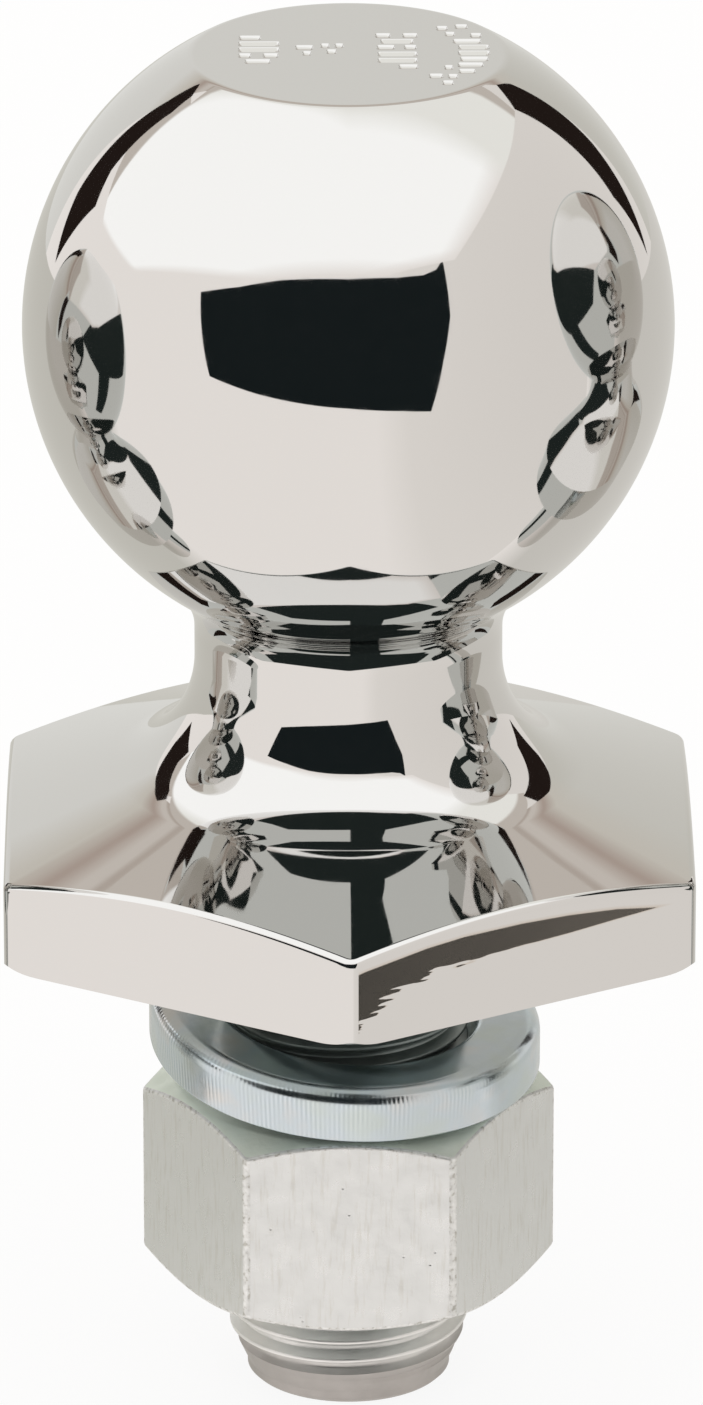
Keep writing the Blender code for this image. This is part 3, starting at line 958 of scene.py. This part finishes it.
def is_worn_highlit_edge(face):
    """True on the rounded edges of the nut."""
    rise = abs(face.normal.z)
    bearing = math.atan2(face.normal.y, face.normal.x) % (math.pi / 3)
    corner = rise < 0.05 and abs(bearing - math.pi / 6) > math.radians(3)
    arc = 0.05 < rise < 0.85
    return math.hypot(*face.center.xy) > NUT_FACE_RADIUS and (corner or arc)


give_finish(nut, worn_and_highlit, is_worn_highlit_edge)

# %% [markdown]
# ## The studio
# A chrome ball shows its whole surroundings, so the studio is part of the finish: a white tent, a bright
# panel overhead, a dark opening for the camera, and narrow gaps at the back of the tent. The world is the
# tent. The camera sees it as plain white. A first reflection sees it slightly warm, with a right wall that
# is a little greyer, and a reflection of a reflection sees it darker. Ray Depth tells which is which.

# %% The world is a white tent
TENT_WHITE = (1.0, 0.965, 0.935)
RIGHT_WALL = [(0.16, TENT_WHITE), (0.34, (0.90, 0.87, 0.835)), (1.0, (0.84, 0.81, 0.775))]
SEEN_TWICE = (0.76, 0.79, 0.77)
tent = bpy.data.worlds.new("white tent")
bpy.context.scene.world = tent
tent.use_nodes = True
background = tent.node_tree.nodes["Background"]
direction = add_node(tent.node_tree, "TexCoord").outputs["Generated"]
path = add_node(tent.node_tree, "LightPath")
wall = colour_ramp(axes_of(direction)["X"], RIGHT_WALL)
twice = spread(path.outputs["Ray Depth"], 2, 3)
mirrored = mix_colours(twice, wall, SEEN_TWICE)
feed(mix_colours(path.outputs["Is Camera Ray"], mirrored, (1, 1, 1)), background.inputs["Color"])
feed(1.0, background.inputs["Strength"])
print("world:", tent.name)

# %% [markdown]
# The floor is white paper. It shines plain white by itself for the most part, and only a thin share of it
# takes light and so keeps the object's shadow. Reflections pass through it, since the cards and the sweep
# below stand for what the metal mirrors there. From below the paper is clear, so the seat and the tip can
# be looked at too.

# %% Floor
PAPER_SHADOW = 0.12
PAPER_SIZE = 8
PAPER_DROP = 0.0001


def mix_shaders(share, first, second):
    """Mixes two shaders, from the first at a share of 0 to the second at 1."""
    node = add_node(first.id_data, "MixShader")
    feed(share, node.inputs["Fac"])
    feed(first, node.inputs[1])
    feed(second, node.inputs[2])
    return node.outputs["Shader"]


bpy.ops.object.select_all(action="DESELECT")
bpy.ops.mesh.primitive_plane_add(size=PAPER_SIZE, location=(0, 0, -PAPER_DROP))
floor = bpy.context.object
floor.name = "studio_floor"
paper, matt = new_material("white paper")
feed((1, 1, 1), matt.inputs["Base Color"])
feed(0.0, matt.inputs["Specular IOR Level"])
feed(1.0, matt.inputs["Roughness"])
plain_white = add_node(paper.node_tree, "Emission")
feed((1, 1, 1), plain_white.inputs["Color"])
thin_shadow = mix_shaders(PAPER_SHADOW, plain_white.outputs["Emission"], matt.outputs["BSDF"])
from_below = add_node(paper.node_tree, "NewGeometry").outputs["Backfacing"]
clear = add_node(paper.node_tree, "BsdfTransparent").outputs["BSDF"]
one_sided = mix_shaders(from_below, thin_shadow, clear)
feed(one_sided, paper.node_tree.nodes["Material Output"].inputs["Surface"])
floor.data.materials.append(paper)
floor.visible_glossy = False
print("floor of white paper,", PAPER_SIZE, "m across")

# %% [markdown]
# ## Cards for the reflections
# A photographer shapes the reflections in chrome with cards, and so does this studio. A card shines by
# itself, and only reflections see it: the camera, plain light and shadows pass through. Its corners are
# given as directions from the middle of the ball, because that is how a mirror ball reads: each place on
# it shows one direction.

# %% Helpers for cards
BALL_CENTRE = Vector((0, 0, ball_z))


def towards(bearing, rise):
    """A direction from its bearing, 0 towards the camera and 90 to the right, and its rise in degrees."""
    bearing = math.radians(bearing)
    rise = math.radians(rise)
    return Vector((math.sin(bearing) * math.cos(rise), -math.cos(bearing) * math.cos(rise), math.sin(rise)))


def glow(name, colour):
    """A surface that shines by itself and mirrors nothing, and its shader."""
    material, shader = new_material(name)
    feed((0, 0, 0), shader.inputs["Base Color"])
    feed(0.0, shader.inputs["Specular IOR Level"])
    feed(colour, shader.inputs["Emission Color"])
    feed(1.0, shader.inputs["Emission Strength"])
    return material, shader


def only_in_reflections(card):
    """Hides a thing of the studio from everything but mirrored rays."""
    card.visible_camera = False
    card.visible_diffuse = False
    card.visible_shadow = False
    card.visible_transmission = False


def draw_card(name, points, material):
    """A flat card, drawn from corner to corner and then filled."""
    card = single_point(name, points[0])
    for last, new in zip(points, points[1:]):
        bpy.ops.mesh.extrude_region_move(TRANSFORM_OT_translate={"value": new - last})
    bpy.ops.mesh.select_all(action="SELECT")
    bpy.ops.mesh.edge_face_add()
    bpy.ops.object.mode_set(mode="OBJECT")
    card.data.materials.append(material)
    only_in_reflections(card)
    print("card:", name)


def card_towards(name, corners, distance, material):
    """A flat card whose corners are seen from the ball's centre in the given directions."""
    rays = [towards(*corner) for corner in corners]
    middle = sum(rays, Vector()).normalized()
    draw_card(name, [BALL_CENTRE + ray * (distance / ray.dot(middle)) for ray in rays], material)

# %% [markdown]
# The dark bands round the neck and on the flange are reflections of a reflection: the flange mirrors the
# underside of the ball, which mirrors the room past the opening. That room would be far too large and dark
# on the ball itself, so its cards are clear to a first reflection and show only in a second one.

# %% The dark room, seen only at the second reflection
DARK_DISTANCE = 0.7
ROOM = [
    (-80, 20), (-40, 38), (0, 41), (50, 40), (72, 18), (52, 2), (30, -14), (0, -16), (-48, -12), (-60, 2),
]
STAND = [(1, -12), (29, -12), (29, -35), (29, -62), (2, -62), (1, -35)]
room_dark, shader = glow("dark room behind the tent", (0.020, 0.028, 0.027))
depth = add_node(room_dark.node_tree, "LightPath").outputs["Ray Depth"]
clear = add_node(room_dark.node_tree, "BsdfTransparent").outputs["BSDF"]
seen_again = mix_shaders(spread(depth, 1, 2), clear, shader.outputs["BSDF"])
feed(seen_again, room_dark.node_tree.nodes["Material Output"].inputs["Surface"])
card_towards("dark_room", ROOM, DARK_DISTANCE, room_dark)
card_towards("dark_stand", STAND, DARK_DISTANCE, room_dark)

# %% [markdown]
# The opening for the camera is the black shape in the middle of the ball, with a spur at its upper right.
# The two narrow gaps at the back of the tent draw the long dark curves near the ball's edge.

# %% The opening and the gaps in the tent
OPENING_DISTANCE = 0.8
GAP_DISTANCE = 0.5
OPENING = [
    (-58.5, 21.4), (-44, 27.3), (-28, 33), (0, 35.7), (20, 35), (31, 34.2), (37, 34.9), (41.3, 37.3),
    (37.5, 19), (32.5, 5), (27.8, -11.6), (18, -10.6), (0, -9), (-32, -5.8), (-48.8, -3),
]
LEFT_GAP = [
    (-142, 28), (-146, 34.5), (-140, 36), (-135, 33), (-128, 18), (-122, 13), (-127, 3), (-131, -4),
    (-137, 5),
]
RIGHT_GAP = [(134, 36), (144.5, 35), (146.5, 29), (143, 10), (137, -6), (131, 8)]
opening_black, shader = glow("camera opening", (0.010, 0.014, 0.015))
gap_brown, shader = glow("gap in the tent", (0.018, 0.012, 0.010))
card_towards("camera_opening", OPENING, OPENING_DISTANCE, opening_black)
card_towards("left_gap", LEFT_GAP, GAP_DISTANCE, gap_brown)
card_towards("right_gap", RIGHT_GAP, GAP_DISTANCE, gap_brown)

# %% [markdown]
# The panel overhead gives the ball its bright cap. A real panel has soft borders, so its glow is built in
# steps. Each step fades one colour into another along a direction, and None stands for the colour so far.
# The panel's far edge is cut on a slant on each side, which is why it is in two halves that meet over the
# ball, and a third piece reaches further back on the left.

# %% A glow in steps
def blend_glow(name, steps):
    """A glow in steps: a direction, where the fade starts and stops, and the colours before and after."""
    material, shader = glow(name, TENT_WHITE)
    place = add_node(material.node_tree, "TexCoord").outputs["Object"]
    so_far = None
    for direction, start, stop, first, last in steps:
        along = vector_maths("DOT_PRODUCT", place, direction)
        share = spread(along, start, stop)
        so_far = mix_colours(share, first or so_far, last or so_far)
    feed(so_far, shader.inputs["Emission Color"])
    return material


def flat_card(name, low, high, material):
    """A rectangle from its low to its high corner, lying down or standing across the view."""
    corners = [low, (high[0], low[1], low[2]), high, (low[0], high[1], high[2])]
    draw_card(name, [Vector(corner) for corner in corners], material)

# %% [markdown]
# The panel is bright at its middle, fades to the tent's white at its front, left and right borders, and
# goes plain again towards the rear. Past the slanted far edge it shows the grey that lies beyond.

# %% The panel overhead
ACROSS = (1, 0, 0)
BACK = (0, 1, 0)
UP = (0, 0, 1)
PANEL_Z = ball_z + 0.5
PANEL_FRONT = -0.66
PANEL_FADE = 0.12
PANEL_BACK = 0.48
PANEL_LEFT = -1.85
PANEL_RIGHT = 0.50
PANEL_WHITE = (1.22, 1.235, 1.235)
PANEL_REAR = (1.01, 1.015, 0.975)
BEYOND_PANEL = (0.64, 0.59, 0.54)
front_fade = (BACK, PANEL_FRONT, PANEL_FRONT + PANEL_FADE, TENT_WHITE, PANEL_WHITE)
left_white = blend_glow("overhead panel, left half", [
    front_fade,
    (ACROSS, PANEL_LEFT, -1.70, TENT_WHITE, None),
    ((0.44, 0.90, 0), -0.84, -0.74, TENT_WHITE, None),
    ((0.700, 0.714, 0), 0, 0.078, None, PANEL_REAR),
    ((0.363, 0.932, 0), 0.262, 0.285, None, BEYOND_PANEL),
])
right_white = blend_glow("overhead panel, right half", [
    front_fade,
    ((-0.50, 0.87, 0), -0.66, -0.58, TENT_WHITE, None),
    (ACROSS, 0.40, PANEL_RIGHT, None, TENT_WHITE),
    (BACK, 0, 0.109, None, PANEL_REAR),
    ((-0.25, 0.968, 0), 0.272, 0.295, None, BEYOND_PANEL),
])
flat_card("overhead_panel_left", (PANEL_LEFT, PANEL_FRONT, PANEL_Z), (0, PANEL_BACK, PANEL_Z), left_white)
right_half = [
    (0, PANEL_FRONT), (0.18, PANEL_FRONT), (PANEL_RIGHT, -0.477), (PANEL_RIGHT, PANEL_BACK), (0, PANEL_BACK),
]
draw_card("overhead_panel_right", [Vector((x, y, PANEL_Z)) for x, y in right_half], right_white)
flat_card("overhead_panel_back", (PANEL_LEFT, PANEL_BACK, PANEL_Z), (-0.45, 0.85, PANEL_Z), left_white)

# %% [markdown]
# Behind the object hangs a grey backdrop, and grey paper sweeps forward from it under the object. The flat
# top, the slopes of the flange and the rim of the ball mirror them. A few soft bands high on the backdrop
# give the fine rings that run round the ball's edge.

# %% Backdrop and sweep
BACKDROP_Y = 0.6
SWEEP_Z = -0.012
SWEEP_FRONT = -0.010
backdrop_grey = blend_glow("grey backdrop", [
    (ACROSS, -0.10, 0.35, (0.80, 0.80, 0.77), (0.66, 0.65, 0.60)),
    (UP, 0.38, 0.50, None, (0.68, 0.65, 0.59)),
    (UP, 0.51, 0.58, None, (0.49, 0.41, 0.36)),
    (UP, 0.59, 0.65, None, (0.68, 0.63, 0.58)),
    (UP, 0.68, 0.70, None, (0.53, 0.47, 0.42)),
    (UP, 0.71, 0.74, None, (0.64, 0.59, 0.54)),
])
flat_card("grey_backdrop", (-0.47, BACKDROP_Y, -0.2), (0.42, BACKDROP_Y, 0.80), backdrop_grey)
sweep_grey = blend_glow("grey sweep", [
    (ACROSS, -0.06, 0.06, (0.65, 0.64, 0.59), (0.70, 0.685, 0.645)),
    (BACK, SWEEP_FRONT, 0.015, TENT_WHITE, None),
])
flat_card("grey_sweep", (-1.0, SWEEP_FRONT, SWEEP_Z), (1.0, BACKDROP_Y, SWEEP_Z), sweep_grey)

# %% [markdown]
# The ball's sides mirror two shapes much like itself, one on each side: small turned balls on flared feet.
# They are drawn and spun as the forging was, with fewer points, at a share of its size.

# %% Side props
PROP_NECK_FOOT_Z = 0.066
PROP_FLANGE_RADIUS = 0.029
PROP_FLANGE_TOP_Z = 0.0495
PROP_SEAT_Z = 0.041
PROP_SHANK_RADIUS = 0.011


def side_prop(name, x, share):
    """A small turned ball on a flared foot, for the reflections at the ball's sides."""
    prop, pen = begin_outline(name, 0, share * TOP_Z)
    line_to(pen, share * TOP_FLAT_RADIUS, share * TOP_Z)
    arc_about(pen, 0, share * ball_z, -math.radians(116), 40)
    line_to(pen, share * NECK_RADIUS, share * PROP_NECK_FOOT_Z)
    arc_about(pen, share * (NECK_RADIUS + NECK_FLARE), share * PROP_NECK_FOOT_Z, math.radians(70), 12)
    line_to(pen, share * PROP_FLANGE_RADIUS, share * PROP_FLANGE_TOP_Z)
    line_to(pen, share * PROP_FLANGE_RADIUS, share * PROP_SEAT_Z)
    line_to(pen, share * PROP_SHANK_RADIUS, share * PROP_SEAT_Z)
    line_to(pen, share * PROP_SHANK_RADIUS, 0)
    line_to(pen, 0, 0)
    turn_outline(prop, 64)
    prop.location = (x, 0, 0)
    apply_place()
    bpy.ops.object.shade_smooth_by_angle(angle=math.radians(30))
    metal, place, shader = new_metal(name + " metal", (0.72, 0.70, 0.68), 0.06)
    prop.data.materials.append(metal)
    only_in_reflections(prop)
    print("prop:", name, len(prop.data.polygons), "faces")


side_prop("left_prop", -0.068, 0.94)
side_prop("right_prop", 0.077, 1.14)

# %% [markdown]
# ## The camera
# The lens is long and stands about a metre away, a little above the object, so the flat top and the slopes
# of the flange are both in view. It turns round a point on the axis, and looks at one slightly lower.

# %% Camera
CAMERA_DISTANCE = 0.9912
CAMERA_RISE = math.radians(21.76)
CAMERA_BEARING = math.radians(-0.4)
CAMERA_PIVOT_Z = 0.060
AIM = Vector((0.000244, 0, 0.05707))
LENS_MM = 322.8
SENSOR_MM = 36
camera_data = bpy.data.cameras.new("camera")
camera = bpy.data.objects.new("camera", camera_data)
bpy.context.scene.collection.objects.link(camera)
out = CAMERA_DISTANCE * math.cos(CAMERA_RISE)
camera.location = (out * math.sin(CAMERA_BEARING), -out * math.cos(CAMERA_BEARING),
                   CAMERA_PIVOT_Z + CAMERA_DISTANCE * math.sin(CAMERA_RISE))
camera.rotation_euler = (AIM - camera.location).to_track_quat("-Z", "Y").to_euler()
camera_data.lens = LENS_MM
camera_data.sensor_width = SENSOR_MM
bpy.context.scene.camera = camera
print("camera at", [round(value, 3) for value in camera.location], "m")
